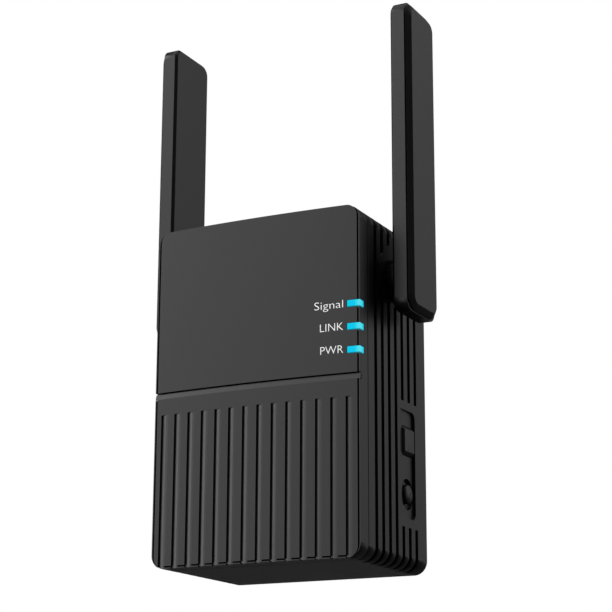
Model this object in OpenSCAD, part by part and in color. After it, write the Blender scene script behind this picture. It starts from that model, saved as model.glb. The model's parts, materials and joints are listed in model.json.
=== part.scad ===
// Plug-in wifi range extender with two fold-down antennas.
// Millimetres. X runs to the right as seen from the front, Y towards the wall and Z up.
// The origin is the centre of the mains plug, on the flat back face that meets the wall.

/* [Body] */
// Width of the body
body_w = 66; // [64:1:80]
// Height of the body
body_h = 100; // [94:1:125]
// Depth of the body from its front face to its back face
body_d = 45; // [43:0.5:54]
// Radius of the four long corners
corner_r = 4; // [3:0.5:6]
// Thickness of the housing's side walls
wall = 2.4; // [2.2:0.1:3]
// Thickness of the housing's back wall
back_wall = 2.5; // [2:0.1:3]
// Height of the plug's centre above the body's base
plug_height = 55; // [50:1:62]

/* [Front] */
// How far the middle of the front face bulges past its two sides
crown = 1.35; // [0.6:0.05:1.8]
// Thickness of the two front plates at their sides
plate_t = 3; // [2.6:0.1:3.6]
// Thickness of the plates' rim that covers the front frame
rim_t = 0.7; // [0.5:0.1:0.9]
// Width of the open line between pieces of the casing
seam = 0.35; // [0.2:0.05:0.5]
// Width of the front frame's edge that shows beside the plates
lip_t = 0.3; // [0.3:0.05:0.6]
// Width of the open line between that edge and the plates
side_gap = 0.5; // [0.3:0.05:0.55]
// Depth of the front frame's band, measured from the front face
band_d = 5.4; // [4.8:0.1:6.5]
// Wall of the front frame around the plates
frame_wall = 1.2; // [1:0.1:1.4]
// Height above the base where the smooth panel meets the grille
split_height = 51.2; // [48:0.1:56]
// Height of the sloping band along the top of the grille
lead_in_h = 1.6; // [1:0.1:3]
// Depth of that sloping band at its top
lead_in_d = 0.45; // [0.3:0.05:0.6]

/* [Grille] */
// Number of vertical flutes
flute_count = 14; // [8:1:14]
// Distance from one flute to the next
flute_pitch = 4.575; // [3.8:0.025:4.6]
// Depth of a flute at its steep side
flute_d = 0.6; // [0.5:0.05:1.6]
// Width of a flute, from its steep side to the end of its slope
flute_w = 2.2; // [1.7:0.05:2.5]
// Height of the flutes' upper ends above the base
flute_top = 44.5; // [38:0.5:46]
// Height of the drain slots under the ribs
drain_h = 0.45; // [0.3:0.05:0.6]
// Thickness of the lip under the drain slots
drain_lip = 0.3; // [0.25:0.05:0.5]

/* [Side grooves] */
// Distance of the first groove behind the front face
groove_first = 10.4; // [9.5:0.1:12]
// Distance from one groove to the next
groove_pitch = 4.533; // [4:0.1:6]
// Width of a groove
groove_w = 1.85; // [1:0.05:2]
// Depth of a groove
groove_d = 1.2; // [0.6:0.1:1.4]
// Least distance from the last groove to the back face
groove_margin = 7.3; // [6:0.1:9]

/* [Antennas] */
// Length of an antenna
antenna_l = 95.2; // [80:0.2:110]
// Width of an antenna, front to back
antenna_w = 19.9; // [17:0.1:23]
// Thickness of an antenna
antenna_t = 6.3; // [6:0.05:8]
// Gap between an antenna and the side of the body
antenna_gap = 3.8; // [3:0.1:6]
// Distance from the antenna's lower end to its pivot
pivot_inset = 11.6; // [9.5:0.1:14]
// Distance from the body's top to the pivot
pivot_drop = 17; // [14:0.5:20]
// Distance of the pivot from the back face
pivot_back = 21.6; // [20:0.1:24]
// Width of the sloping band around the antenna's outer face
antenna_bevel = 1.75; // [1:0.05:2]
// Wall of the antenna's shell
antenna_wall = 1.2; // [1:0.1:1.4]

/* [Controls] */
// Side of the square power button at its foot
power_size = 8.4; // [7:0.1:8.5]
// Width of the sloping edge around the power button's face
power_bevel = 0.95; // [0.4:0.05:1]
// Height of the power button's centre above the base
power_height = 37.15; // [35:0.1:40]
// Travel of the power button
power_travel = 1.2; // [0.8:0.1:1.5]
// Diameter of the pairing button's cap
pairing_cap = 5.4; // [4.5:0.1:6]
// Diameter of the round recess around the pairing button
pairing_recess = 9; // [8:0.1:9.1]
// Height of the pairing button's centre above the base
pairing_height = 21.7; // [20:0.1:24]
// Travel of the pairing button
pairing_travel = 0.6; // [0.4:0.1:0.8]
// Distance of the two buttons' axes from the back face
button_back = 12.4; // [12.4:0.1:13.2]

/* [Lights] */
// Height of one light guide
light_h = 1.95; // [1.4:0.05:2.6]
// Distance from one light guide to the next
light_pitch = 6.65; // [5:0.05:7]
// Distance from the body's top to the first light guide's centre
light_drop = 29.1; // [28.5:0.1:34]
// Length of a light guide across the front face
light_front = 3.75; // [3:0.05:5]
// Length of a light guide along the side face
light_side = 2.6; // [2.4:0.1:4]

/* [Mains plug] */
// Distance between the two blades' centres
blade_pitch = 12.7; // [12.7:0.1:19]
// Width of a blade
blade_w = 6.35; // [6:0.05:6.6]
// Thickness of a blade
blade_t = 1.5; // [1.4:0.05:1.6]
// Length of a blade beyond the back face
blade_l = 17; // [16:0.1:18.2]

/* [Boards] */
// Thickness of both circuit boards
board_t = 1.6; // [1:0.1:2]
// Distance of the main board's rear face from the back face
main_board_back = 17.5; // [17:0.1:19]
// Clear gap between two pieces that slide or drop together
fit = 0.15; // [0.1:0.05:0.2]
// Clear gap between a turning shaft and its hole
running = 0.05; // [0.03:0.01:0.08]

/* [Hidden] */
$fn = 48;
LEFT = -1;
RIGHT = 1;
past = 1;            // how far a cutter runs past the surface it opens

// Places on the body
half_w = body_w / 2;
front = -body_d;
base = -plug_height;
top = base + body_h;
mid_z = (base + top) / 2;
inner_x = half_w - wall;
inner_back = -back_wall;
frame_back = front + band_d;

// Front frame and plates
frame_front = front + rim_t + seam;
seat = front + plate_t;
tongue_t = 1.2;
tongue_l = 2.6;
tongue_inset = wall + fit;
split_z = base + split_height;
plate_inset = frame_wall + fit;
rim_inset = lip_t + side_gap;
grille_top = split_z - seam;
flute_lead = 1.27;   // how far the first flute starts inside its own pitch
flute_x = -flute_count * flute_pitch / 2 + flute_lead;
hook_x = 14;
panel_hook_h = 34;
grille_hook_h = 24;
ledge = tongue_inset + tongue_t + fit + 1;

// The crowned front face is an upright cylinder through the body's two front edges
crown_r = (half_w * half_w + crown * crown) / (2 * crown);
crown_axis_y = front - crown + crown_r;
crown_front = front - crown - past;

// Corner posts that join the frame to the back of the housing
post_r = 2.8;
post_inset = 6.4;
screw_r = 1.1;
screw_head_r = 2.1;
screw_head_depth = 1.6;
screw_bite = 9;
board_screw_bite = 6;
supply_screw_bite = 2.5;

// Pivot
pivot_y = -pivot_back;
pivot_z = top - pivot_drop;
pad_r = 9.2;
pad_lift = 1.5;      // how far the flat round place sits above the pivot
journal_r = 4.5;
neck_r = 4;
collar_r = 6.25;
cable_r = 0.65;
hub_bore_r = 1.4;
hub_reach = 3.2;     // how far the journal stands inside the wall
washer_t = 0.8;
washer_gap = 0.1;
clip_t = 0.8;
clip_groove_r = 3.6;
clip_x = inner_x - 2 * washer_gap - washer_t - clip_t;
antenna_x = half_w + antenna_gap;
antenna_low = [pivot_y - antenna_w / 2, pivot_z - pivot_inset];
antenna_high = antenna_low + [antenna_w, antenna_l];
antenna_corner_r = 3.5;
cover_ledge = 0.35;  // how far the shell's rim stands out around the cover
cover_corner_r = 4.35;
cover_edge = 0.23;   // upright edge left under the cover's sloping band
cover_seam = 0.15;
band_depth = 1.2;
cover_t = band_depth + cover_edge;
shell_t = antenna_t - cover_t - cover_seam;
shell_bevel = 0.78;
cover_x = antenna_x + shell_t + cover_seam;
cavity_x = antenna_x + antenna_wall;
element_lift = 0.8;
element_t = 0.8;
element_x = cavity_x + element_lift;
cable_x = element_x + element_t + cable_r + 0.1;

// Boards
board_rear = -main_board_back;
board_front = board_rear - board_t;
board_half_w = half_w - 4.5;
board_low = base + 10.5;
board_high = top - 11;
board_step = pivot_z - 9;
neck_half_w = half_w - 9;
block_t = 3.4;
supply_rear = inner_back - block_t;
supply_front = supply_rear - board_t;
supply_left = -26;   // the power board hangs on the plug, whatever the casing's width
supply_right = 18;
supply_half_h = 24.5;
screw_edge = 3.6;
boss_r = 2.6;
board_screw_points = [[-7, board_low + 3], [17, board_low + 3],
                      [-10, board_high - 4], [10, board_high - 4]];
supply_screw_z = supply_half_h - 4;
supply_screw_points = [for (x = [supply_left + screw_edge, supply_right - screw_edge],
                            z = [-supply_screw_z, supply_screw_z]) [x, z]];

// Controls, on the right side
button_y = -button_back;
power_z = base + power_height;
pairing_z = base + pairing_height;
scoop_d = 0.8;
scoop_bend_d = 0.5;
scoop_front = -18.3;
scoop_bend = -15.6;
scoop_rear = -7.8;
scoop_low = base + 14.6;
scoop_high = base + 46;
groove_stop_front = scoop_front - 0.7;
groove_stop_high = base + 48.6;
groove_stop_low = base + 12;
power_proud = 0.35;
power_slope_d = 0.9;
power_corner_r = 1.2;
pairing_proud = 0.45;
pairing_floor_d = 1.7;
flange_t = 0.8;
flange_lip = 0.85;
flange_gap = 0.1;
stem_l = 1.6;
power_stem_w = 3.4;
power_plunger_w = 3;
power_plunger_l = 6;
pairing_stem_r = 1.5;
pairing_plunger_r = 1.2;
pairing_plunger_l = 4;
cap_inner_x = inner_x - flange_gap;
stem_end_x = cap_inner_x - flange_t - stem_l;
switch_x = stem_end_x - max(power_travel, pairing_travel) - 0.4;
switch_h = 8.5;
end_play = 0.5;      // room behind a fully pressed plunger

// Lights
light_z = top - light_drop;
stem_w = 2.6;
stem_gap = 0.45;     // between a light guide's stem and the front frame
led_x = half_w - tongue_inset - tongue_t - stem_gap - stem_w / 2;
led_h = 0.9;

// Ethernet jack, on the left side
jack_w = 15.9;
jack_h = 13.3;
jack_l = 21;
jack_x = -half_w + 0.4;
jack_z = base + 22;
jack_low_y = board_front - jack_h;
port_w = 11.9;
port_h = 8.2;
port_l = 14;
port_y = jack_low_y + 2;
latch_w = 6.2;
latch_h = 2.2;
jack_pad = 1.4;

groove_count = floor((body_d - groove_first - groove_margin) / groove_pitch) + 1;

// Where the crowned front face lies at x
function face_y(x) = crown_axis_y - sqrt(crown_r * crown_r - x * x);

// ---- Shared shapes ----

// A rectangle centred on the origin with rounded corners
module rounded(w, h, r) {
    square([w - 2 * r, h], center = true);
    square([w, h - 2 * r], center = true);
    for (x = [-1, 1], z = [-1, 1])
        translate([x * (w / 2 - r), z * (h / 2 - r)])
            circle(r);
}

// Extrudes an outline drawn in X and Z from y0 back to y1
module slab(y0, y1) {
    translate([0, y1, 0]) rotate([90, 0, 0]) linear_extrude(y1 - y0) children();
}

// Extrudes an outline drawn in Y and Z from x0 out to x1
module side_slab(x0, x1) {
    translate([x0, 0, 0]) rotate([90, 0, 90]) linear_extrude(x1 - x0) children();
}

// The body's outline, drawn in by inset
module outline(inset) {
    translate([0, mid_z])
        rounded(body_w - 2 * inset, body_h - 2 * inset, max(corner_r - inset, 0.6));
}

// The space behind the crowned front face from z0 to z1, narrower by cut at its top
module behind_face(z0, z1, cut) {
    translate([0, crown_axis_y, z0])
        cylinder(h = z1 - z0, r1 = crown_r, r2 = crown_r - cut, $fn = 720);
}

// A block between two corners
module block(low, high) {
    translate(low) cube(high - low);
}

// A rod of radius r along X, from x0 to x1
module rod_x(x0, x1, y, z, r) {
    translate([x0, y, z]) rotate([0, 90, 0]) cylinder(h = x1 - x0, r = r);
}

// A rod of radius r along Y, from y0 to y1
module rod_y(x, y0, y1, z, r) {
    translate([x, y1, z]) rotate([90, 0, 0]) cylinder(h = y1 - y0, r = r);
}

// A rounded rectangle drawn in Y and Z between two corners, which narrows from one level to the
// next. Each of levels is [x, inset], and r is the corner radius where the inset is 0.
module tapered_slab(levels, r, low, high) {
    last = len(levels) - 1;
    back = [for (i = [last:-1:0]) levels[i]];
    union() {
        for (y = [low[0] + r, high[0] - r], z = [low[1] + r, high[1] - r])
            translate([0, y, z]) rotate([0, 90, 0]) rotate_extrude()
                polygon(concat([[0, levels[0][0]]],
                               [for (level = levels) [r - level[1], level[0]]],
                               [[0, levels[last][0]]]));
        translate([0, 0, low[1] + r]) linear_extrude(high[1] - low[1] - 2 * r)
            polygon(concat([for (level = levels) [level[0], low[0] + level[1]]],
                           [for (level = back) [level[0], high[0] - level[1]]]));
        slab(low[0] + r, high[0] - r)
            polygon(concat([for (level = levels) [level[0], low[1] + level[1]]],
                           [for (level = back) [level[0], high[1] - level[1]]]));
    }
}

// Mirrors its children to the left side when side is LEFT
module on_side(side) {
    mirror([side == LEFT ? 1 : 0, 0, 0]) children();
}

module post_places() {
    for (x = [-1, 1], z = [base + post_inset, top - post_inset])
        translate([x * (half_w - post_inset), 0, z]) children();
}

// ---- Casing ----

// What a side groove removes: the space outside a narrower outline with the same corner arcs
module groove_cutter(y) {
    arc_clear = 0.05;
    slab(y - groove_w / 2, y + groove_w / 2) difference() {
        translate([0, mid_z]) square([body_w + 2, body_h + 2], center = true);
        translate([0, mid_z])
            rounded(body_w - 2 * groove_d, body_h + 2 * arc_clear, corner_r);
    }
}

// Where the grooves stay shut: round the pivots, the controls and the socket
module groove_keep_out() {
    rod_x(-half_w - 2, half_w + 2, pivot_y, pivot_z + pad_lift, pad_r);
    block([0, groove_stop_front, groove_stop_low], [half_w + 2, 0, groove_stop_high]);
    block([-half_w - 2, jack_low_y - jack_pad, jack_z - jack_w / 2 - jack_pad - 1],
          [0, board_front + jack_pad, jack_z + jack_w / 2 + jack_pad + 1]);
}

module grooves() {
    difference() {
        for (k = [0 : groove_count - 1])
            groove_cutter(front + groove_first + k * groove_pitch);
        groove_keep_out();
    }
}

// The shallow scoop that the two buttons sit in: its floor slopes down to a step at the rear
module control_scoop() {
    intersection() {
        translate([half_w, 0, scoop_low]) linear_extrude(scoop_high - scoop_low)
            polygon([[0, scoop_front], [past, scoop_front], [past, scoop_rear],
                     [-scoop_d, scoop_rear], [-scoop_bend_d, scoop_bend]]);
        side_slab(half_w - 2 * scoop_d, half_w + 2)
            translate([(scoop_front + scoop_rear) / 2 - 2, (scoop_low + scoop_high) / 2])
                rounded(scoop_rear - scoop_front + 4, scoop_high - scoop_low, 2);
    }
}

module button_openings() {
    side_slab(inner_x - past, half_w + past)
        translate([button_y, power_z])
            rounded(power_size + 2 * fit, power_size + 2 * fit, power_corner_r + fit);
    rod_x(half_w - pairing_floor_d, half_w + past, button_y, pairing_z, pairing_recess / 2);
    rod_x(inner_x - past, half_w, button_y, pairing_z, pairing_cap / 2 + fit);
}

// Slots in the top wall that let warm air out
module top_vents() {
    slot_w = 22;
    for (k = [1 : groove_count - 2], x = [-1, 1])
        translate([x * (slot_w / 2 + 2) - slot_w / 2,
                   front + groove_first + k * groove_pitch - groove_w / 2, top - wall - past])
            cube([slot_w, groove_w, wall + 2 * past]);
}

module blade_slots(clear) {
    for (x = [-1, 1])
        translate([x * blade_pitch / 2 - blade_t / 2 - clear, inner_back - past,
                   -blade_w / 2 - clear])
            cube([blade_t + 2 * clear, back_wall + 2 * past, blade_w + 2 * clear]);
}

// Countersunk holes in the back wall for the four housing screws
module housing_screw_holes() {
    post_places() {
        rod_y(0, inner_back - past, past, 0, screw_r + fit);
        rod_y(0, -screw_head_depth, past, 0, screw_head_r + fit);
    }
}

// A boss on the back wall whose front end carries a board at y, with a hole for its screw
module boss(p, y, bite) {
    difference() {
        rod_y(p[0], y, inner_back, p[1], boss_r);
        rod_y(p[0], y - past, y + bite, p[1], screw_r);
    }
}

module board_bosses() {
    for (p = board_screw_points) boss(p, board_rear, board_screw_bite + 2);
    for (p = supply_screw_points) boss(p, supply_rear, supply_screw_bite + 0.5);
}

module housing() {
    color([0.07, 0.07, 0.075]) union() {
        difference() {
            slab(frame_back, 0) outline(0);
            slab(frame_back - past, inner_back) outline(wall);
            grooves();
            control_scoop();
            button_openings();
            top_vents();
            blade_slots(fit);
            housing_screw_holes();
            for (x = [-1, 1])
                rod_x(x * half_w - wall - past, x * half_w + wall + past, pivot_y, pivot_z,
                      journal_r + running);
            block([-half_w - past, jack_low_y - fit, jack_z - jack_w / 2 - fit],
                  [-inner_x + past, board_front + fit, jack_z + jack_w / 2 + fit]);
        }
        board_bosses();
    }
}

// The notches that the light guides pass through
module light_notches(clear) {
    for (k = [0 : 2])
        translate([0, 0, light_z - k * light_pitch]) light_guide_shape(clear);
}

module front_frame() {
    color([0.07, 0.07, 0.075]) union() {
        difference() {
            union() {
                slab(frame_front, frame_back - seam) outline(0);
                frame_lip();
            }
            slab(frame_front - past, seat) outline(frame_wall);
            slab(seat - past, frame_back + past) outline(tongue_inset + tongue_t);
            block([-half_w + corner_r - fit, frame_front - past, base - past],
                  [half_w - corner_r + fit, seat + seam - 0.1, base + frame_wall + past]);
            light_notches(fit);
        }
        difference() {
            slab(frame_back - seam - 0.5, frame_back + tongue_l) outline(tongue_inset);
            slab(frame_back - 2, frame_back + tongue_l + past) outline(tongue_inset + tongue_t);
        }
        post_places() frame_post();
    }
}

// The frame's edge beside the plates, open where the grille's sloping band runs across it
module frame_lip() {
    arc_clear = 0.05;
    difference() {
        slab(front, seat) outline(0);
        slab(front - past, seat + past) translate([0, mid_z])
            rounded(body_w - 2 * lip_t, body_h + 2 * arc_clear, corner_r - lip_t);
        block([-half_w - past, front - past, grille_top - lead_in_h - fit],
              [half_w + past, frame_front, split_z]);
    }
}

// One corner post, from the frame's ledge to the back wall of the housing
module frame_post() {
    difference() {
        rod_y(0, seat + seam, inner_back, 0, post_r);
        rod_y(0, inner_back - screw_bite, inner_back + past, 0, screw_r);
    }
}

module housing_screws() {
    color([0.2, 0.2, 0.21]) post_places()
        difference() {
            union() {
                rod_y(0, -screw_head_depth, -0.2, 0, screw_head_r);
                rod_y(0, inner_back - screw_bite + 0.5, -screw_head_depth, 0,
                      screw_r - running);
            }
            translate([-1.4, -0.8, -0.3]) cube([2.8, 2, 0.6]);
            translate([-0.3, -0.8, -1.4]) cube([0.6, 2, 2.8]);
        }
}

// One snap hook behind a plate, against the inside of the frame's ledge
module plate_hook(x, z, turn) {
    leg_t = 1;
    leg_w = 5;
    reach = frame_back + tongue_l - seat;
    translate([x, 0, z]) rotate([0, turn, 0]) {
        translate([-leg_w / 2, seat - 0.5, 0]) cube([leg_w, reach + 1.6, leg_t]);
        translate([-leg_w / 2, seat + reach + 0.1, leg_t - 0.01]) cube([leg_w, 1, 0.7]);
    }
}

// The rim and the spigot that both front plates are cut from
module plate_stock() {
    slab(crown_front, front + rim_t) translate([0, mid_z])
        rounded(body_w - 2 * rim_inset, body_h, corner_r - rim_inset);
    slab(crown_front, seat) outline(plate_inset);
}

module front_panel() {
    color([0.08, 0.08, 0.085]) difference() {
        union() {
            intersection() {
                plate_stock();
                behind_face(split_z, top + past, 0);
            }
            for (x = [-1, 1]) plate_hook(x * hook_x, top - ledge, 0);
            for (s = [-1, 1]) plate_hook(s * (half_w - ledge), split_z + panel_hook_h, s * 90);
        }
        light_notches(0.05);
    }
}

// The flutes: each has a steep left side, and a curved slope that runs out into the face
module flutes() {
    steps = 4;
    ease = 1.6;          // how much the slope flattens towards the face
    run_out = flute_d * pow(1 / steps, ease);
    for (k = [0 : flute_count - 1]) {
        x = flute_x + k * flute_pitch;
        end_x = x + flute_w * (1 + 1 / steps);
        translate([0, 0, base - past]) linear_extrude(flute_top + past)
            polygon(concat([[x, face_y(x) - past]],
                           [for (i = [0 : steps - 1]) let (u = i / steps, run = x + u * flute_w)
                               [run, face_y(run) + flute_d * pow(1 - u, ease)]],
                           [[end_x, face_y(x + flute_w) - run_out],
                            [end_x, face_y(x + flute_w) - past]]));
    }
}

// Slots under the ribs between two flutes
module drain_slots() {
    for (k = [0 : flute_count - 2])
        block([flute_x + k * flute_pitch + flute_w, crown_front, base + drain_lip],
              [flute_x + (k + 1) * flute_pitch, seat + past, base + drain_lip + drain_h]);
}

module front_grille() {
    color([0.08, 0.08, 0.085]) difference() {
        union() {
            intersection() {
                union() {
                    plate_stock();
                    block([-half_w, crown_front, grille_top - lead_in_h],
                          [half_w, front + rim_t, grille_top]);
                    block([-half_w + corner_r, crown_front, base],
                          [half_w - corner_r, seat, base + corner_r]);
                }
                union() {
                    behind_face(base - past, grille_top - lead_in_h, 0);
                    behind_face(grille_top - lead_in_h, grille_top, lead_in_d);
                }
            }
            for (x = [-1, 1]) plate_hook(x * hook_x, base + ledge, 180);
            for (s = [-1, 1]) plate_hook(s * (half_w - ledge), base + grille_hook_h, s * 90);
        }
        flutes();
        drain_slots();
    }
}

// ---- Light guides ----

// One guide, grown by clear on each free side: the lit corner piece and its stem to the board
module light_guide_shape(clear) {
    h = light_h / 2 + clear;
    stem_x = led_x - stem_w / 2 - clear;
    union() {
        block([half_w - light_front - clear, crown_front, -h],
              [half_w + (clear > 0 ? past : 0), front + light_side + clear, h]);
        block([stem_x, front + 1.4 - clear, -h],
              [half_w - light_front + 0.5, front + light_side + clear, h]);
        block([stem_x, front + 1.4 - clear, -h],
              [led_x + stem_w / 2 + clear, board_front - led_h - 0.3, h]);
    }
}

module light_guide(number) {
    color([0, 0.75, 0.95]) intersection() {
        translate([0, 0, light_z - number * light_pitch]) light_guide_shape(0);
        behind_face(base, top, 0);
    }
}

module signal_light_guide() { light_guide(0); }
module link_light_guide() { light_guide(1); }
module power_light_guide() { light_guide(2); }

// ---- Buttons and switches ----

module power_button() {
    wide = power_size + 2 * flange_lip;
    color([0.1, 0.1, 0.105]) union() {
        tapered_slab([[cap_inner_x - 0.01, 0], [half_w + power_proud - power_slope_d, 0],
                      [half_w + power_proud, power_bevel]], power_corner_r,
                     [button_y - power_size / 2, power_z - power_size / 2],
                     [button_y + power_size / 2, power_z + power_size / 2]);
        side_slab(cap_inner_x - flange_t, cap_inner_x)
            translate([button_y, power_z]) square(wide, center = true);
        side_slab(stem_end_x, cap_inner_x - flange_t + 0.01)
            translate([button_y, power_z]) square(power_stem_w, center = true);
    }
}

module power_plunger() {
    color([0.85, 0.85, 0.82]) side_slab(stem_end_x - power_plunger_l, stem_end_x)
        translate([button_y, power_z]) square(power_plunger_w, center = true);
}

module power_switch() {
    bore_x = stem_end_x - power_plunger_l - power_travel - end_play;
    color([0.15, 0.15, 0.16]) difference() {
        block([bore_x - 1, board_rear, power_z - switch_h / 2],
              [switch_x, board_rear + switch_h, power_z + switch_h / 2]);
        side_slab(bore_x, switch_x + past)
            translate([button_y, power_z]) square(power_plunger_w + 2 * fit, center = true);
    }
}

module pairing_button() {
    dome_r = 6.4;
    cap_top = half_w + pairing_proud;
    color([0.1, 0.1, 0.105]) union() {
        translate([0, button_y, pairing_z]) rotate([0, 90, 0]) rotate_extrude()
            intersection() {
                translate([0, cap_top - dome_r]) circle(dome_r);
                translate([0, cap_inner_x - 0.01]) square([pairing_cap / 2, half_w]);
            }
        rod_x(cap_inner_x - flange_t, cap_inner_x, button_y, pairing_z,
              pairing_cap / 2 + flange_lip);
        rod_x(stem_end_x, cap_inner_x - flange_t + 0.01, button_y, pairing_z, pairing_stem_r);
    }
}

module pairing_plunger() {
    color([0.85, 0.85, 0.82])
        rod_x(stem_end_x - pairing_plunger_l, stem_end_x, button_y, pairing_z,
              pairing_plunger_r);
}

module pairing_switch() {
    bore_x = stem_end_x - pairing_plunger_l - pairing_travel - end_play;
    color([0.15, 0.15, 0.16]) difference() {
        block([bore_x - 1, board_rear, pairing_z - 3.5],
              [switch_x, button_y + 3, pairing_z + 3.5]);
        rod_x(bore_x, switch_x + past, button_y, pairing_z, pairing_plunger_r + fit);
    }
}

// ---- Main board ----

module screw(length) {
    rod_y(0, 0, length, 0, screw_r - running);
    difference() {
        rod_y(0, -1.2, 0, 0, screw_head_r);
        translate([-1.3, -2, -0.25]) cube([2.6, 1.4, 0.5]);
        translate([-0.25, -2, -1.3]) cube([0.5, 1.4, 2.6]);
    }
}

module main_board() {
    color([0.05, 0.3, 0.16]) difference() {
        union() {
            block([-board_half_w, board_front, board_low], [board_half_w, board_rear, board_step]);
            block([-neck_half_w, board_front, board_step - past],
                  [neck_half_w, board_rear, board_high]);
        }
        for (p = board_screw_points)
            rod_y(p[0], board_front - past, board_rear + past, p[1], screw_r + fit);
    }
}

module main_board_screws() {
    color([0.7, 0.7, 0.72]) for (p = board_screw_points)
        translate([p[0], board_front, p[1]]) screw(board_t + board_screw_bite);
}

// A chip on the front face of the main board, centred at x and z
module chip(x, z, w, h, t) {
    block([x - w / 2, board_front - t, z - h / 2], [x + w / 2, board_front, z + h / 2]);
}

chip_x = 8;
chip_z = base + 38;
chip_t = 1.4;
pad_t = 0.8;
sink_t = 1.5;
shield_z = board_high - 18;

module processor() { color([0.05, 0.05, 0.055]) chip(chip_x, chip_z, 14, 14, chip_t); }

module thermal_pad() {
    color([0.6, 0.65, 0.75]) translate([0, -chip_t, 0]) chip(chip_x, chip_z, 13, 13, pad_t);
}

module heat_sink() {
    w = 22;
    fin_h = 6;
    fins = 8;
    color([0.75, 0.76, 0.78]) translate([0, -chip_t - pad_t, 0]) union() {
        chip(chip_x, chip_z, w, w, sink_t);
        for (k = [0 : fins - 1])
            translate([chip_x - w / 2 + k * (w - 1.2) / (fins - 1), board_front - sink_t - fin_h,
                       chip_z - w / 2])
                cube([1.2, fin_h + 0.1, w]);
    }
}

module radio_chip() { color([0.05, 0.05, 0.055]) chip(0, shield_z, 9, 9, 1); }

module radio_shield() {
    w = 24;
    h = 16;
    t = 2.6;
    skin = 0.3;
    color([0.72, 0.72, 0.74]) difference() {
        chip(0, shield_z, w, h, t);
        translate([0, past, 0]) chip(0, shield_z, w - 2 * skin, h - 2 * skin, t - skin + past);
        for (x = [-9 : 3 : 9], z = [-5, 0, 5])
            rod_y(x, board_front - t - past, board_front - t + past, shield_z + z, 0.6);
    }
}

module memory_chip() { color([0.05, 0.05, 0.055]) chip(-11, base + 42, 8, 5.3, 1.6); }

module network_transformer() { color([0.08, 0.08, 0.085]) chip(-4, base + 21.3, 9, 10, 4); }

module status_leds() {
    color([0.95, 0.93, 0.8]) for (k = [0 : 2])
        chip(led_x, light_z - k * light_pitch, 1.6, 1.8, led_h);
}

// ---- Ethernet socket ----

module ethernet_jack() {
    color([0.1, 0.1, 0.105]) difference() {
        block([jack_x, jack_low_y, jack_z - jack_w / 2],
              [jack_x + jack_l, board_front, jack_z + jack_w / 2]);
        block([jack_x - past, port_y, jack_z - port_w / 2],
              [jack_x + port_l, port_y + port_h, jack_z + port_w / 2]);
        block([jack_x - past, port_y, jack_z - latch_w / 2],
              [jack_x + port_l, port_y + port_h + latch_h, jack_z + latch_w / 2]);
    }
}

module ethernet_contacts() {
    pitch = 1.02;
    color([0.85, 0.68, 0.3]) for (k = [0 : 7])
        translate([jack_x + 4, port_y, jack_z + (k - 3.5) * pitch - 0.2])
            cube([port_l - 4, 0.8, 0.4]);
}

// ---- Power supply ----

module power_board() {
    color([0.45, 0.36, 0.16]) difference() {
        block([supply_left, supply_front, -supply_half_h],
              [supply_right, supply_rear, supply_half_h]);
        for (p = supply_screw_points)
            rod_y(p[0], supply_front - past, supply_rear + past, p[1], screw_r + fit);
        for (x = [-1, 1])
            block([x * blade_pitch / 2 - blade_t / 2 - fit, supply_front - past, -2 - fit],
                  [x * blade_pitch / 2 + blade_t / 2 + fit, supply_rear + past, 2 + fit]);
    }
}

module power_board_screws() {
    color([0.7, 0.7, 0.72]) for (p = supply_screw_points)
        translate([p[0], supply_front, p[1]]) screw(board_t + supply_screw_bite);
}

// A block that stands on the front face of the power board
module supply_part(low_x, low_z, w, h, t) {
    block([low_x, supply_front - t, low_z], [low_x + w, supply_front, low_z + h]);
}

module power_transformer() {
    x = -4;
    z = 5.5;
    union() {
        color([0.12, 0.12, 0.13]) supply_part(x, z, 16, 3, 8.6);
        color([0.12, 0.12, 0.13]) supply_part(x, z + 12, 16, 3, 8.6);
        color([0.85, 0.7, 0.15]) supply_part(x + 2, z + 2.9, 12, 9.2, 8);
    }
}

// A can that lies on the power board along Z, with two leads into the board
module can(x, z, r, length) {
    y = supply_front - r - 0.1;
    translate([x, y, z]) cylinder(h = length, r = r);
    for (side = [-1, 1]) {
        block([x + side * 1.2 - 0.3, y - 0.3, z - 1.2], [x + side * 1.2 + 0.3, y + 0.3, z + 0.1]);
        block([x + side * 1.2 - 0.3, y - 0.3, z - 1.2],
              [x + side * 1.2 + 0.3, supply_front, z - 0.6]);
    }
}

module input_capacitors() {
    color([0.1, 0.12, 0.3]) for (x = [supply_left + 9.4, supply_left + 17.6]) can(x, 7, 3.8, 13);
}

module output_capacitor() { color([0.1, 0.12, 0.3]) can(supply_left + 9.8, -20, 3.2, 10); }

module bridge_rectifier() { color([0.08, 0.08, 0.085]) supply_part(2, -17, 6.5, 8, 2.6); }

module mains_fuse() { color([0.35, 0.2, 0.12]) supply_part(11, -9, 4, 8.5, 7); }

module input_choke() {
    x = -5;
    z = -14;
    color([0.2, 0.2, 0.21]) union() {
        rod_y(x, supply_front - 7.4, supply_front, z, 2.2);
        rod_y(x, supply_front - 1, supply_front, z, 4);
        rod_y(x, supply_front - 7.4, supply_front - 6.4, z, 4);
        rod_y(x, supply_front - 6.5, supply_front - 0.9, z, 3.2);
    }
}

link_x = supply_left + 3;
link_z = 0;

// Pins and spacers that carry power from the supply to the main board
module board_link() {
    color([0.1, 0.1, 0.105]) union() {
        block([link_x - 1.3, board_rear, link_z - 5], [link_x + 1.3, board_rear + 2.5, link_z + 5]);
        block([link_x - 1.3, supply_front - 2.5, link_z - 5],
              [link_x + 1.3, supply_front, link_z + 5]);
        for (k = [0 : 3])
            block([link_x - 0.35, board_rear + 2.4, link_z + (k - 1.5) * 2.4 - 0.35],
                  [link_x + 0.35, supply_front - 2.4, link_z + (k - 1.5) * 2.4 + 0.35]);
    }
}

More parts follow.
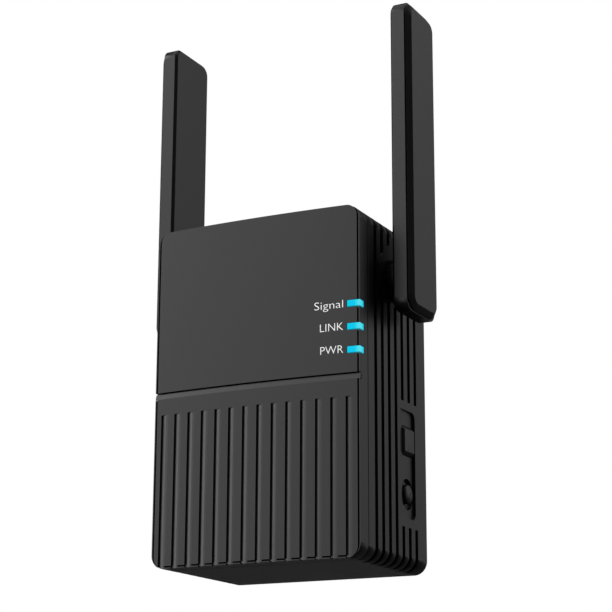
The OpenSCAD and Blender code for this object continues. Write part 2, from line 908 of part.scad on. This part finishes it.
module insulation_sheet() {
    y = board_rear + 0.5;
    color([0.9, 0.88, 0.75]) difference() {
        block([supply_left, y, -supply_half_h], [supply_right, y + 0.4, supply_half_h]);
        block([link_x - 2, y - past, link_z - 6], [link_x + 2, y + past, link_z + 6]);
    }
}

// ---- Mains plug ----

module plug_block() {
    color([0.06, 0.06, 0.065]) difference() {
        block([-12, supply_rear, -6.5], [12, inner_back, 6.5]);
        for (x = [-1, 1])
            block([x * blade_pitch / 2 - blade_t / 2, supply_rear - past, -blade_w / 2],
                  [x * blade_pitch / 2 + blade_t / 2, inner_back + past, blade_w / 2]);
    }
}

module blade(x) {
    tip = 1.6;
    hole_y = blade_l - 5;
    color([0.8, 0.8, 0.8]) difference() {
        union() {
            translate([x - blade_t / 2, 0, 0]) rotate([90, 0, 90]) linear_extrude(blade_t)
                polygon([[supply_rear, -blade_w / 2], [blade_l - tip, -blade_w / 2],
                         [blade_l, -blade_w / 2 + tip], [blade_l, blade_w / 2 - tip],
                         [blade_l - tip, blade_w / 2], [supply_rear, blade_w / 2]]);
            block([x - blade_t / 2, supply_front - 1, -2], [x + blade_t / 2, supply_rear + 0.1, 2]);
        }
        rod_x(x - blade_t, x + blade_t, hole_y, 0, 1.6);
    }
}

module left_blade() { blade(-blade_pitch / 2); }
module right_blade() { blade(blade_pitch / 2); }

// ---- Antennas, drawn on the right side ----

lead_end_x = half_w - 15.5;
lead_start_x = inner_x - hub_reach - 0.3;
bend_r = 1.5;
plug_t = 1;

// The lead from the hub's axis to its plug on the main board
module antenna_lead() {
    color([0.12, 0.12, 0.13]) union() {
        rod_x(lead_end_x + bend_r, lead_start_x, pivot_y, pivot_z, cable_r);
        translate([lead_end_x + bend_r, pivot_y + bend_r, pivot_z])
            rotate([0, 0, 180]) rotate_extrude(angle = 90)
                translate([bend_r, 0]) circle(cable_r);
        rod_y(lead_end_x, pivot_y + bend_r, board_front - plug_t, pivot_z, cable_r);
    }
}

module lead_plug() {
    color([0.85, 0.7, 0.35]) rod_y(lead_end_x, board_front - plug_t, board_front, pivot_z, 1.6);
}

// The cable that turns with the antenna: along the hub's axis, then up over the element
module element_cable() {
    color([0.12, 0.12, 0.13]) union() {
        rod_x(inner_x - hub_reach, cable_x - 1, pivot_y, pivot_z, cable_r);
        translate([cable_x - 1, pivot_y, pivot_z + 1])
            rotate([-90, 0, 0]) rotate_extrude(angle = 90)
                translate([1, 0]) circle(cable_r);
        translate([cable_x, pivot_y, pivot_z + 1]) cylinder(h = 14, r = cable_r);
    }
}

module antenna_element() {
    color([0.5, 0.38, 0.15])
        block([element_x, pivot_y - 6, pivot_z + 7.5],
              [element_x + element_t, pivot_y + 6, pivot_z + antenna_l - pivot_inset - 6]);
}

// The antenna's outline in Y and Z, drawn in by inset
module antenna_outline(inset) {
    translate([pivot_y, pivot_z - pivot_inset + antenna_l / 2])
        rounded(antenna_w - 2 * inset, antenna_l - 2 * inset, max(antenna_corner_r - inset, 0.6));
}

module antenna_shell() {
    rib_inset = 12;
    rib_t = 2;
    rib_half_w = 5;
    color([0.07, 0.07, 0.075]) union() {
        difference() {
            tapered_slab([[antenna_x, shell_bevel], [antenna_x + shell_bevel, 0],
                          [antenna_x + shell_t, 0]], antenna_corner_r, antenna_low, antenna_high);
            side_slab(cavity_x, antenna_x + antenna_t) antenna_outline(antenna_wall);
            rod_x(antenna_x - past, cavity_x + past, pivot_y, pivot_z, neck_r);
        }
        for (z = [rib_inset, antenna_l - pivot_inset - rib_inset])
            block([cavity_x - 0.1, pivot_y - rib_half_w, pivot_z + z],
                  [element_x, pivot_y + rib_half_w, pivot_z + z + rib_t]);
    }
}

module antenna_cover() {
    spigot = antenna_wall + fit;
    spigot_l = 1.2;
    spigot_t = 1;
    color([0.06, 0.06, 0.065]) union() {
        tapered_slab([[cover_x, cover_ledge], [cover_x + cover_edge, cover_ledge],
                      [antenna_x + antenna_t, cover_ledge + antenna_bevel]],
                     cover_ledge + cover_corner_r, antenna_low, antenna_high);
        difference() {
            side_slab(cover_x - spigot_l, cover_x + 0.1) antenna_outline(spigot);
            side_slab(cover_x - spigot_l - past, cover_x) antenna_outline(spigot + spigot_t);
        }
    }
}

// The turned hub: disc inside the shell, collar in the gap, journal in the wall
module pivot_hub() {
    disc_r = 5.2;
    disc_t = 1;
    wall_gap = 0.1;
    color([0.09, 0.09, 0.095]) difference() {
        union() {
            rod_x(cavity_x, cavity_x + disc_t, pivot_y, pivot_z, disc_r);
            rod_x(antenna_x - 0.01, cavity_x + 0.01, pivot_y, pivot_z, neck_r);
            rod_x(half_w + wall_gap, antenna_x, pivot_y, pivot_z, collar_r);
            rod_x(inner_x - hub_reach, half_w + wall_gap + 0.01, pivot_y, pivot_z, journal_r);
        }
        rod_x(inner_x - hub_reach - past, cavity_x + disc_t + past, pivot_y, pivot_z,
              hub_bore_r);
        difference() {
            rod_x(clip_x, clip_x + clip_t, pivot_y, pivot_z, journal_r + 1);
            rod_x(clip_x - past, clip_x + clip_t + past, pivot_y, pivot_z, clip_groove_r);
        }
    }
}

module pivot_washer() {
    washer_r = 7;
    x = inner_x - washer_gap - washer_t;
    color([0.6, 0.6, 0.62]) difference() {
        rod_x(x, x + washer_t, pivot_y, pivot_z, washer_r);
        rod_x(x - past, x + washer_t + past, pivot_y, pivot_z, journal_r + fit);
    }
}

module pivot_clip() {
    clip_r = 6;
    clip_mouth = 5.2;
    x0 = clip_x + running;
    x1 = clip_x + clip_t - running;
    color([0.6, 0.6, 0.62]) difference() {
        rod_x(x0, x1, pivot_y, pivot_z, clip_r);
        rod_x(x0 - past, x1 + past, pivot_y, pivot_z, clip_groove_r + running);
        block([x0 - past, pivot_y - clip_mouth / 2, pivot_z - clip_r - past],
              [x1 + past, pivot_y + clip_mouth / 2, pivot_z]);
    }
}

module left_antenna_lead() { on_side(LEFT) antenna_lead(); }
module right_antenna_lead() { on_side(RIGHT) antenna_lead(); }
module left_lead_plug() { on_side(LEFT) lead_plug(); }
module right_lead_plug() { on_side(RIGHT) lead_plug(); }
module left_antenna_shell() { on_side(LEFT) antenna_shell(); }
module right_antenna_shell() { on_side(RIGHT) antenna_shell(); }
module left_antenna_cover() { on_side(LEFT) antenna_cover(); }
module right_antenna_cover() { on_side(RIGHT) antenna_cover(); }
module left_antenna_element() { on_side(LEFT) antenna_element(); }
module right_antenna_element() { on_side(RIGHT) antenna_element(); }
module left_element_cable() { on_side(LEFT) element_cable(); }
module right_element_cable() { on_side(RIGHT) element_cable(); }
module left_pivot_hub() { on_side(LEFT) pivot_hub(); }
module right_pivot_hub() { on_side(RIGHT) pivot_hub(); }
module left_pivot_washer() { on_side(LEFT) pivot_washer(); }
module right_pivot_washer() { on_side(RIGHT) pivot_washer(); }
module left_pivot_clip() { on_side(LEFT) pivot_clip(); }
module right_pivot_clip() { on_side(RIGHT) pivot_clip(); }

housing();
front_frame();
front_panel();
front_grille();
housing_screws();
signal_light_guide();
link_light_guide();
power_light_guide();
power_button();
power_plunger();
power_switch();
pairing_button();
pairing_plunger();
pairing_switch();
main_board();
main_board_screws();
processor();
thermal_pad();
heat_sink();
radio_chip();
radio_shield();
memory_chip();
network_transformer();
status_leds();
ethernet_jack();
ethernet_contacts();
power_board();
power_board_screws();
power_transformer();
input_capacitors();
output_capacitor();
bridge_rectifier();
mains_fuse();
input_choke();
insulation_sheet();
board_link();
plug_block();
left_blade();
right_blade();
left_antenna_lead();
right_antenna_lead();
left_lead_plug();
right_lead_plug();
left_antenna_shell();
left_antenna_cover();
left_antenna_element();
left_element_cable();
left_pivot_hub();
left_pivot_washer();
left_pivot_clip();
right_antenna_shell();
right_antenna_cover();
right_antenna_element();
right_element_cable();
right_pivot_hub();
right_pivot_washer();
right_pivot_clip();
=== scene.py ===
"""Looks of the plug-in wifi range extender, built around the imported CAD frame."""

import json
import math

import bpy
from mathutils import Matrix, Vector


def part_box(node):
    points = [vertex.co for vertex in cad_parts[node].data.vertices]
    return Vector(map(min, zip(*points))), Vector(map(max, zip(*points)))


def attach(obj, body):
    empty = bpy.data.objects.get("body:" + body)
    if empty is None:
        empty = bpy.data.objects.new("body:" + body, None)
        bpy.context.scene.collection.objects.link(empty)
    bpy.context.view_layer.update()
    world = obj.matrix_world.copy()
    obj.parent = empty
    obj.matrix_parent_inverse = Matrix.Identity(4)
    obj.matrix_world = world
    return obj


MM = 0.001

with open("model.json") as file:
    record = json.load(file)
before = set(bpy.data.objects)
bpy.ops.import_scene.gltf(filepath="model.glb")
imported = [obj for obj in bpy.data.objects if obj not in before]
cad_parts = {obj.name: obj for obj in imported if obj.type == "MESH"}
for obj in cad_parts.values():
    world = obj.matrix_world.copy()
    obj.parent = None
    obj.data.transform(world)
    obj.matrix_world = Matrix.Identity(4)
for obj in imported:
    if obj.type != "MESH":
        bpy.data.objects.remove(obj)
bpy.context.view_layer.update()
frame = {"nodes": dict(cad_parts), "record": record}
nodes = frame["nodes"]
slots = {part["node"]: part["material_slot"] for part in frame["record"]["subparts"]}
scene = bpy.context.scene

HOUSING_LOW, HOUSING_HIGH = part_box("housing")
PANEL_LOW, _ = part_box("front_panel")
HALF_W = HOUSING_HIGH.x
BASE_Z = HOUSING_LOW.z

# The front face is part of a large upright cylinder: its middle stands CROWN further forward
# than its side edges
CROWN = 1.35 * MM
FACE_MID_Y = PANEL_LOW.y
FACE_EDGE_Y = FACE_MID_Y + CROWN
CROWN_R = (HALF_W ** 2 + CROWN ** 2) / (2 * CROWN)


def face_y(x):
    """Y of the crowned front face at x."""
    return FACE_MID_Y + CROWN_R - math.sqrt(CROWN_R ** 2 - x ** 2)


# ---- Camera ----

VIEW_AZIMUTH = math.radians(27.15)
VIEW_ELEVATION = math.radians(-15.27)
VIEW_ROLL = math.radians(0.216)
VIEW_DISTANCE = 509 * MM
VIEW_LENS = 105.8
SENSOR_WIDTH = 36
CLIP_NEAR = 0.01
CLIP_FAR = 20
# The point of the front that the camera looks at, from the body's centre line and base
AIM = Vector((16.2 * MM, FACE_EDGE_Y, BASE_Z + 71.85 * MM))


def make_camera():
    data = bpy.data.cameras.new("camera")
    data.sensor_width = SENSOR_WIDTH
    data.lens = VIEW_LENS
    data.clip_start = CLIP_NEAR
    data.clip_end = CLIP_FAR
    camera = bpy.data.objects.new("camera", data)
    scene.collection.objects.link(camera)
    back = Vector((math.sin(VIEW_AZIMUTH) * math.cos(VIEW_ELEVATION),
                   -math.cos(VIEW_AZIMUTH) * math.cos(VIEW_ELEVATION),
                   math.sin(VIEW_ELEVATION)))
    level = Vector((0, 0, 1)).cross(back).normalized()
    upright = back.cross(level)
    right = level * math.cos(VIEW_ROLL) + upright * math.sin(VIEW_ROLL)
    up = upright * math.cos(VIEW_ROLL) - level * math.sin(VIEW_ROLL)
    turn = Matrix((right, up, back)).transposed().to_4x4()
    camera.matrix_world = Matrix.Translation(AIM + back * VIEW_DISTANCE) @ turn
    scene.camera = camera


# ---- Light and floor ----

GLOW = 0.045
BOX_DISTANCE = 0.9
BOX_AIM = Vector((0, -20 * MM, 20 * MM))      # the point that every soft box faces
# Each soft box: direction from the object, width and height, and what its face sends out
BOXES = {
    "front_box": ((-0.37, -0.9, 0.26), (0.72, 1.1), 1.33),
    "left_front_box": ((-0.86, -0.44, 0.26), (0.35, 1.1), 3.4),
    "front_top_box": ((-0.3, -0.72, 0.75), (0.8, 0.4), 0.76),
    "right_rear_box": ((0.44, 0.86, 0.42), (0.8, 0.9), 0.23),
    "right_box": ((0.75, 0.6, 0.42), (0.5, 0.9), 0.7),
    "top_box": ((0.0, -0.15, 1.0), (0.9, 0.7), 0.8),
    "left_rear_box": ((-0.55, 0.8, 0.35), (0.6, 0.9), 0.9),
}


def area_light(name, direction, size, radiance):
    """A soft box that faces the object from a direction."""
    data = bpy.data.lights.new(name, "AREA")
    data.shape = "RECTANGLE"
    data.size, data.size_y = size
    data.energy = radiance * math.pi * size[0] * size[1]
    light = bpy.data.objects.new(name, data)
    toward = Vector(direction).normalized()
    light.location = BOX_AIM + toward * BOX_DISTANCE
    light.rotation_mode = "QUATERNION"
    light.rotation_quaternion = toward.to_track_quat("Z", "Y")
    light.visible_camera = False
    scene.collection.objects.link(light)


def make_lights():
    for name, (direction, size, radiance) in BOXES.items():
        area_light(name, direction, size, radiance)


def make_world():
    """White where the camera sees it, a dim even glow where surfaces do."""
    world = bpy.data.worlds.new("studio")
    world.use_nodes = True
    tree = world.node_tree
    tree.nodes.clear()
    out = tree.nodes.new("ShaderNodeOutputWorld")
    mix = tree.nodes.new("ShaderNodeMixShader")
    path = tree.nodes.new("ShaderNodeLightPath")
    seen = tree.nodes.new("ShaderNodeBackground")
    seen.inputs["Color"].default_value = (1, 1, 1, 1)
    seen.inputs["Strength"].default_value = 1.0
    glow = tree.nodes.new("ShaderNodeBackground")
    glow.inputs["Color"].default_value = (1, 1, 1, 1)
    glow.inputs["Strength"].default_value = GLOW
    tree.links.new(path.outputs["Is Camera Ray"], mix.inputs["Fac"])
    tree.links.new(glow.outputs[0], mix.inputs[1])
    tree.links.new(seen.outputs[0], mix.inputs[2])
    tree.links.new(mix.outputs[0], out.inputs["Surface"])
    scene.world = world


FLOOR_DROP = 100 * MM
FLOOR_HALF = 1.5
FLOOR_GLOW = 0.4              # keeps the floor pale where the soft boxes don't reach


def make_floor():
    """A pale floor well below the object, which throws no light back up onto it."""
    half = FLOOR_HALF
    z = BASE_Z - FLOOR_DROP
    mesh = bpy.data.meshes.new("floor")
    mesh.from_pydata([(-half, -half, z), (half, -half, z), (half, half, z), (-half, half, z)],
                     [], [(0, 1, 2, 3)])
    floor = bpy.data.objects.new("floor", mesh)
    scene.collection.objects.link(floor)
    material, _, shader = new_material("pale_floor")
    shader.inputs["Base Color"].default_value = (0.86, 0.86, 0.86, 1)
    shader.inputs["Roughness"].default_value = 0.7
    shader.inputs["Emission Color"].default_value = (1, 1, 1, 1)
    shader.inputs["Emission Strength"].default_value = FLOOR_GLOW
    mesh.materials.append(material)
    floor.visible_glossy = False
    floor.visible_diffuse = False


# ---- Materials ----

def new_material(name):
    material = bpy.data.materials.new(name)
    material.use_nodes = True
    tree = material.node_tree
    return material, tree, tree.nodes["Principled BSDF"]


def add(tree, kind, **settings):
    node = tree.nodes.new(kind)
    for key, value in settings.items():
        setattr(node, key, value)
    return node


def ramp(tree, source, low, high):
    """Maps a 0..1 value to low..high."""
    node = add(tree, "ShaderNodeMapRange")
    node.inputs["To Min"].default_value = low
    node.inputs["To Max"].default_value = high
    tree.links.new(source, node.inputs["Value"])
    return node.outputs["Result"]


def object_noise(tree, scale, detail=2.0, stretch=(1, 1, 1)):
    coords = add(tree, "ShaderNodeTexCoord")
    spread = add(tree, "ShaderNodeMapping")
    spread.inputs["Scale"].default_value = stretch
    noise = add(tree, "ShaderNodeTexNoise")
    noise.inputs["Scale"].default_value = scale
    noise.inputs["Detail"].default_value = detail
    tree.links.new(coords.outputs["Object"], spread.inputs["Vector"])
    tree.links.new(spread.outputs["Vector"], noise.inputs["Vector"])
    return noise.outputs["Fac"]


GRAIN_DEPTH = 0.04 * MM


def finish(name, colour, roughness, metallic=0.0, specular=0.5, coat=0.0, vary=0.12,
           slow_scale=60, grain_scale=5200, grain=0.0, stretch=(1, 1, 1)):
    """A shader with slow changes of tone and sheen, and a fine grain in its relief."""
    material, tree, shader = new_material(name)
    slow = object_noise(tree, slow_scale, 3)
    fine = object_noise(tree, grain_scale, 3, stretch)
    tone = add(tree, "ShaderNodeMix", data_type="RGBA")
    tone.inputs["A"].default_value = (*[c * (1 - vary) for c in colour], 1)
    tone.inputs["B"].default_value = (*[min(c * (1 + vary), 1) for c in colour], 1)
    tree.links.new(slow, tone.inputs["Factor"])
    tree.links.new(tone.outputs["Result"], shader.inputs["Base Color"])
    sheen = add(tree, "ShaderNodeMath", operation="ADD")
    tree.links.new(ramp(tree, slow, roughness - 0.03, roughness + 0.03), sheen.inputs[0])
    tree.links.new(ramp(tree, fine, -0.03, 0.03), sheen.inputs[1])
    tree.links.new(sheen.outputs[0], shader.inputs["Roughness"])
    shader.inputs["Metallic"].default_value = metallic
    shader.inputs["Specular IOR Level"].default_value = specular
    shader.inputs["Coat Weight"].default_value = coat
    if grain:
        bump = add(tree, "ShaderNodeBump")
        bump.inputs["Strength"].default_value = grain
        bump.inputs["Distance"].default_value = GRAIN_DEPTH
        tree.links.new(fine, bump.inputs["Height"])
        tree.links.new(bump.outputs["Normal"], shader.inputs["Normal"])
    return material


GUIDE_GLOW = 0.62
# Where the painted highlight on the guide's glow sits, as distances in from the side face and back
# from the front face
GUIDE_CORNER = (1.6 * MM, 0.2 * MM)
GUIDE_SIDE = (0.6 * MM, 2.0 * MM)
# Where the painted shade along its lower edge ends, as shares of the guide's height
GUIDE_SHADE_EDGE = (0.02, 0.16)


def glowing_guide():
    """Cyan plastic lit from behind, with a painted highlight where it turns the corner and painted
    shade along its lower edge.
    """
    material, tree, shader = new_material("cyan_guide")
    shader.inputs["Base Color"].default_value = (0.0, 0.08, 0.13, 1)
    shader.inputs["Roughness"].default_value = 0.35
    shader.inputs["Specular IOR Level"].default_value = 0.05
    shader.inputs["Emission Strength"].default_value = GUIDE_GLOW
    coords = add(tree, "ShaderNodeTexCoord")
    split = add(tree, "ShaderNodeSeparateXYZ")
    tree.links.new(coords.outputs["Object"], split.inputs["Vector"])
    corner = add(tree, "ShaderNodeMapRange")
    corner.inputs["From Min"].default_value = HALF_W - GUIDE_CORNER[0]
    corner.inputs["From Max"].default_value = HALF_W - GUIDE_CORNER[1]
    tree.links.new(split.outputs["X"], corner.inputs["Value"])
    side = add(tree, "ShaderNodeMapRange")
    side.inputs["From Min"].default_value = FACE_EDGE_Y + GUIDE_SIDE[0]
    side.inputs["From Max"].default_value = FACE_EDGE_Y + GUIDE_SIDE[1]
    side.inputs["To Min"].default_value = 1
    side.inputs["To Max"].default_value = 0.25
    tree.links.new(split.outputs["Y"], side.inputs["Value"])
    # Painted highlight: the glow turns paler near the corner, most at the front
    pale = add(tree, "ShaderNodeMath", operation="MULTIPLY")
    tree.links.new(corner.outputs["Result"], pale.inputs[0])
    tree.links.new(side.outputs["Result"], pale.inputs[1])
    mix = add(tree, "ShaderNodeMix", data_type="RGBA")
    mix.inputs["A"].default_value = (0.0, 0.88, 1.26, 1)
    mix.inputs["B"].default_value = (0.13, 1.15, 1.3, 1)
    tree.links.new(pale.outputs[0], mix.inputs["Factor"])
    height = add(tree, "ShaderNodeSeparateXYZ")
    tree.links.new(coords.outputs["Generated"], height.inputs["Vector"])
    # Painted shade: the glow fades towards black along the guide's lower edge
    lower = add(tree, "ShaderNodeMapRange")
    lower.inputs["From Min"].default_value = GUIDE_SHADE_EDGE[0]
    lower.inputs["From Max"].default_value = GUIDE_SHADE_EDGE[1]
    lower.inputs["To Min"].default_value = 0.25
    tree.links.new(height.outputs["Z"], lower.inputs["Value"])
    lit = add(tree, "ShaderNodeMix", data_type="RGBA")
    lit.inputs["A"].default_value = (0, 0, 0, 1)
    tree.links.new(mix.outputs["Result"], lit.inputs["B"])
    tree.links.new(lower.outputs["Result"], lit.inputs["Factor"])
    tree.links.new(lit.outputs["Result"], shader.inputs["Emission Color"])
    return material


def glowing_white_print():
    material, _, shader = new_material("glowing_white_print")
    shader.inputs["Base Color"].default_value = (0.86, 0.86, 0.86, 1)
    shader.inputs["Roughness"].default_value = 0.5
    shader.inputs["Emission Color"].default_value = (1, 1, 1, 1)
    # The print also glows a little: painted light that keeps the letters bright white
    shader.inputs["Emission Strength"].default_value = 0.45
    return material


BLACK = (0.008, 0.008, 0.0085)


def plastic(name, roughness=0.36):
    """Satin moulded plastic with a fine spark-eroded grain."""
    return finish(name, BLACK, roughness, vary=0.15, grain=0.08)


def metal(name, colour, roughness, grain=0.1):
    return finish(name, colour, roughness, metallic=1.0, grain=grain, grain_scale=1500,
                  stretch=(1, 1, 0.1))


def make_materials():
    """One material for each slot of the record."""
    return {
        "casing": plastic("casing_plastic"),
        "front_plates": plastic("plate_plastic"),
        "buttons": plastic("button_plastic"),
        "antenna_shell": plastic("antenna_plastic"),
        "antenna_cover": plastic("antenna_cover_plastic"),
        "light_guide": glowing_guide(),
        "black_screws": metal("black_oxide", (0.05, 0.05, 0.053), 0.38),
        "zinc_screws": metal("zinc", (0.62, 0.62, 0.63), 0.35),
        "tinned_steel": metal("tinned_steel", (0.6, 0.6, 0.61), 0.3),
        "heat_sink": metal("bare_aluminium", (0.7, 0.71, 0.72), 0.32),
        "gold_plate": metal("gold_plate", (0.8, 0.55, 0.2), 0.22),
        "nickel_brass": metal("nickel", (0.72, 0.69, 0.64), 0.2, grain=0.05),
        "white_nylon": finish("nylon", (0.72, 0.72, 0.69), 0.5, grain=0.1),
        "switch_body": finish("black_moulding", (0.016, 0.016, 0.017), 0.42, grain=0.1),
        "chip_resin": finish("chip_resin", (0.018, 0.018, 0.02), 0.5, grain=0.25),
        "green_board": finish("solder_mask", (0.015, 0.14, 0.06), 0.3, coat=0.4, vary=0.2),
        "brown_board": finish("paper_laminate", (0.3, 0.19, 0.075), 0.45, vary=0.2),
        "thermal_pad": finish("thermal_pad", (0.42, 0.47, 0.58), 0.75, grain=0.3),
        "led_package": finish("led_package", (0.85, 0.8, 0.55), 0.25),
        "winding_tape": finish("winding_tape", (0.75, 0.5, 0.06), 0.2, coat=0.5),
        "capacitor_sleeve": finish("capacitor_sleeve", (0.02, 0.03, 0.12), 0.25),
        "fuse_body": finish("fuse_body", (0.18, 0.07, 0.035), 0.4),
        "ferrite": finish("ferrite", (0.06, 0.06, 0.065), 0.6, grain=0.4),
        "insulating_film": finish("insulating_film", (0.7, 0.66, 0.48), 0.3),
        "cable_jacket": finish("cable_jacket", (0.025, 0.025, 0.027), 0.5, grain=0.1),
    }


def paint(piece, material):
    piece.data.materials.clear()
    piece.data.materials.append(material)


# ---- Edges of the CAD pieces ----

# How far each slot's sharp edges are rounded
EDGE_ROUNDING = {
    "casing": 0.12 * MM, "buttons": 0.15 * MM,
    "antenna_shell": 0.12 * MM, "antenna_cover": 0.12 * MM, "light_guide": 0.1 * MM,
    "switch_body": 0.1 * MM, "nickel_brass": 0.12 * MM, "heat_sink": 0.08 * MM,
    "chip_resin": 0.06 * MM, "winding_tape": 0.15 * MM, "black_screws": 0.05 * MM,
    "zinc_screws": 0.05 * MM, "fuse_body": 0.15 * MM,
}


FLAT_ANGLE = 0.5              # degrees between triangles that count as one flat face
SHARP_ANGLE = 25              # degrees from which an edge is rounded
MERGE_DISTANCE = 0.002 * MM

def soften(piece, width):
    """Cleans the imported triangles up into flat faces, then rounds the sharp edges a little."""
    weld = piece.modifiers.new("weld", "WELD")
    weld.merge_threshold = MERGE_DISTANCE
    flat = piece.modifiers.new("flat", "DECIMATE")
    flat.decimate_type = "DISSOLVE"
    flat.angle_limit = math.radians(FLAT_ANGLE)
    edge = piece.modifiers.new("edge", "BEVEL")
    edge.width = width
    edge.segments = 2
    edge.limit_method = "ANGLE"
    edge.angle_limit = math.radians(SHARP_ANGLE)
    edge.harden_normals = True
    edge.use_clamp_overlap = True
    edge.miter_outer = "MITER_ARC"


# ---- Words beside the lights ----

WORD_RIGHT = 28.05 * MM       # where every word ends, from the body's centre line
WORD_LIFT = 0.02 * MM         # how far the print stands on the face
CAP_HEIGHT = 2.22 * MM
STROKE_OFFSET = -0.012        # thins the strokes, as a share of the letters' size
# Each word: height of its baseline above the base, and its width
WORDS = {
    "Signal": (69.9 * MM, 8.75 * MM),
    "LINK": (63.4 * MM, 7.0 * MM),
    "PWR": (56.85 * MM, 6.9 * MM),
}


def word_mesh(word):
    """The word as a flat mesh in X and Y, from its left end and its baseline."""
    curve = bpy.data.curves.new(word, "FONT")
    curve.body = word
    curve.size = 1
    curve.offset = STROKE_OFFSET
    curve.resolution_u = 4
    text = bpy.data.objects.new(word, curve)
    scene.collection.objects.link(text)
    bpy.context.view_layer.update()
    mesh = bpy.data.meshes.new_from_object(text)
    bpy.data.objects.remove(text)
    return mesh


def make_words(material):
    cap = word_mesh("I")
    cap_units = max(v.co.y for v in cap.vertices)
    for word, (baseline, width) in WORDS.items():
        mesh = word_mesh(word)
        left = min(v.co.x for v in mesh.vertices)
        right = max(v.co.x for v in mesh.vertices)
        for v in mesh.vertices:
            x = WORD_RIGHT - width * (right - v.co.x) / (right - left)
            z = BASE_Z + baseline + v.co.y * CAP_HEIGHT / cap_units
            v.co = (x, face_y(x) - WORD_LIFT, z)
        mesh.materials.clear()
        mesh.materials.append(material)
        piece = bpy.data.objects.new(f"word_{word.lower()}", mesh)
        scene.collection.objects.link(piece)
        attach(piece, "body")


# ---- Put together ----

make_camera()
make_world()
make_floor()
make_lights()
materials = make_materials()
for name, piece in nodes.items():
    paint(piece, materials[slots[name]])
    if slots[name] in EDGE_ROUNDING:
        soften(piece, EDGE_ROUNDING[slots[name]])
make_words(glowing_white_print())
scene.view_settings.view_transform = "Standard"
